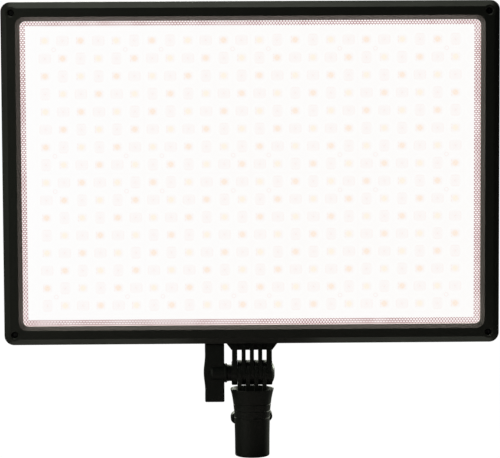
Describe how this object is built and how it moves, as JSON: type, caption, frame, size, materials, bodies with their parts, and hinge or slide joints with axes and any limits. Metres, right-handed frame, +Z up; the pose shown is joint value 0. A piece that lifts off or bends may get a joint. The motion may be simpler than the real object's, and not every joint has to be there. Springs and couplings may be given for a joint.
{
  "type": "led panel light",
  "caption": "Slim rectangular LED panel light with prismatic diffuser, tilting knuckle with T-handle, and a spigot socket for a light stand.",
  "frame": {"origin": "centre of the stand socket's mouth, at the bottom of the object", "axes": "+Z up along the socket's axis, the light leaves the panel towards -Y, +X to the right of a viewer who faces the light"},
  "size_m": [0.3618, 0.05, 0.3345],
  "materials": {
    "bezel_plastic": "fine satin texture",
    "cover_plastic": "fine satin texture",
    "fascia_plastic": "smooth satin",
    "knuckle_plastic": "moulded satin",
    "handle_plastic": "moulded satin",
    "knob_plastic": "moulded satin",
    "button_plastic": "moulded satin",
    "rocker_plastic": "gloss",
    "diffuser_acrylic": "prismatic, translucent",
    "reflector_plastic": "matt white",
    "led_board_white": "white solder mask on an aluminium core",
    "led_cool": "phosphor behind clear resin",
    "led_warm": "phosphor behind clear resin",
    "led_amber": "phosphor behind clear resin",
    "aluminium": "mill finish",
    "black_steel": "black zinc plate",
    "bright_steel": "plated",
    "brass": "plain",
    "contact_gold": "plated",
    "board_green": "solder mask on glass fibre",
    "window_acrylic": "clear, smoked",
    "lcd_module": "glass in a dark frame",
    "can_aluminium": "satin sleeve",
    "ferrite": "moulded ferrite",
    "switch_plastic": "moulded",
    "spring_steel": "drawn wire",
    "wire_white": "PVC sleeve",
    "wire_red": "PVC sleeve"
  },
  "bodies": {
    "stand_adapter": {"stand_adapter": "knuckle_plastic", "lock_nut_insert": "brass"},
    "lock_pad": {"lock_pad": "brass"},
    "lock_knob": {"lock_screw": "bright_steel", "lock_knob": "handle_plastic"},
    "lamp_head": {"tilt_bracket": "knuckle_plastic", "bracket_screws": "bright_steel", "tilt_bolt": "bright_steel", "front_bezel": "bezel_plastic", "bezel_screws": "black_steel", "prism_diffuser": "diffuser_acrylic", "reflector_frame": "reflector_plastic", "cool_leds": "led_cool", "warm_leds": "led_warm", "amber_leds": "led_amber", "led_board_screws": "bright_steel", "back_plate": "aluminium", "back_plate_screws": "bright_steel", "rear_cover": "cover_plastic", "control_fascia": "fascia_plastic", "display_window": "window_acrylic", "display_module": "lcd_module", "control_board": "board_green", "control_board_screws": "bright_steel", "board_capacitors": "can_aluminium", "board_inductors": "ferrite", "brightness_encoder": "bright_steel", "color_temp_encoder": "bright_steel", "tact_switches": "switch_plastic", "power_switch_body": "switch_plastic", "dc_jack": "switch_plastic", "battery_plate_left": "fascia_plastic", "battery_plate_right": "fascia_plastic", "battery_contacts": "contact_gold", "battery_plate_screws": "black_steel", "latch_spring_left": "spring_steel", "latch_spring_right": "spring_steel", "led_cable": "wire_white", "battery_leads": "wire_red", "led_board_1": "led_board_white", "led_board_2": "led_board_white", "led_board_3": "led_board_white", "led_board_4": "led_board_white", "led_board_5": "led_board_white", "led_board_6": "led_board_white", "led_board_7": "led_board_white", "led_board_8": "led_board_white"},
    "tilt_washer": {"tilt_washer": "black_steel"},
    "tilt_knob": {"tilt_knob": "handle_plastic", "tilt_knob_insert": "brass"},
    "brightness_knob": {"brightness_shaft": "bright_steel", "brightness_knob": "knob_plastic"},
    "color_temp_knob": {"color_temp_shaft": "bright_steel", "color_temp_knob": "knob_plastic"},
    "mode_button": {"mode_button": "button_plastic"},
    "group_button": {"group_button": "button_plastic"},
    "channel_button": {"channel_button": "button_plastic"},
    "power_rocker": {"power_rocker": "rocker_plastic"},
    "battery_latch_left": {"battery_latch_left": "button_plastic"},
    "battery_latch_right": {"battery_latch_right": "button_plastic"}
  },
  "joints": [
    {"name": "tilt_hinge", "type": "hinge", "parent": "stand_adapter", "child": "lamp_head", "pos_m": [0, 0, 0.0616], "axis": [1, 0, 0], "range_deg": [-90, 90]},
    {"name": "tilt_washer_slide", "type": "slide", "parent": "lamp_head", "child": "tilt_washer", "axis": [1, 0, 0], "range_m": [-0.00219, 0]},
    {"name": "tilt_knob_turn", "type": "hinge", "parent": "tilt_washer", "child": "tilt_knob", "pos_m": [0, 0, 0.0616], "axis": [1, 0, 0], "range_deg": [-630, 0]},
    {"name": "lock_pad_slide", "type": "slide", "parent": "stand_adapter", "child": "lock_pad", "axis": [0, 1, 0], "range_m": [-0.00076, 0.00251]},
    {"name": "lock_knob_turn", "type": "hinge", "parent": "lock_pad", "child": "lock_knob", "pos_m": [0, 0, 0.0247], "axis": [0, 1, 0], "range_deg": [-270, 900]},
    {"name": "brightness_turn", "type": "hinge", "parent": "lamp_head", "child": "brightness_knob", "pos_m": [0.046, 0.0192, 0.1696], "axis": [0, 1, 0], "continuous": true},
    {"name": "color_temp_turn", "type": "hinge", "parent": "lamp_head", "child": "color_temp_knob", "pos_m": [-0.046, 0.0192, 0.1696], "axis": [0, 1, 0], "continuous": true},
    {"name": "mode_press", "type": "slide", "parent": "lamp_head", "child": "mode_button", "axis": [0, -1, 0], "range_m": [0, 0.0006], "stiffness_N_per_m": 300},
    {"name": "group_press", "type": "slide", "parent": "lamp_head", "child": "group_button", "axis": [0, -1, 0], "range_m": [0, 0.0006], "stiffness_N_per_m": 300},
    {"name": "channel_press", "type": "slide", "parent": "lamp_head", "child": "channel_button", "axis": [0, -1, 0], "range_m": [0, 0.0006], "stiffness_N_per_m": 300},
    {"name": "power_rocker_tilt", "type": "hinge", "parent": "lamp_head", "child": "power_rocker", "pos_m": [0.08, 0.0176, 0.1696], "axis": [1, 0, 0], "range_deg": [0, 16]},
    {"name": "battery_latch_left_slide", "type": "slide", "parent": "lamp_head", "child": "battery_latch_left", "axis": [0, 0, -1], "range_m": [0, 0.003], "stiffness_N_per_m": 400, "springref_m": -0.002, "deforming": ["latch_spring_left"]},
    {"name": "battery_latch_right_slide", "type": "slide", "parent": "lamp_head", "child": "battery_latch_right", "axis": [0, 0, -1], "range_m": [0, 0.003], "stiffness_N_per_m": 400, "springref_m": -0.002, "deforming": ["latch_spring_right"]}
  ],
  "couplings": [
    {"joint": "tilt_washer_slide", "follows": "tilt_knob_turn", "m_per_rad": 0.00019894},
    {"joint": "lock_pad_slide", "follows": "lock_knob_turn", "m_per_rad": 0.00015915}
  ]
}
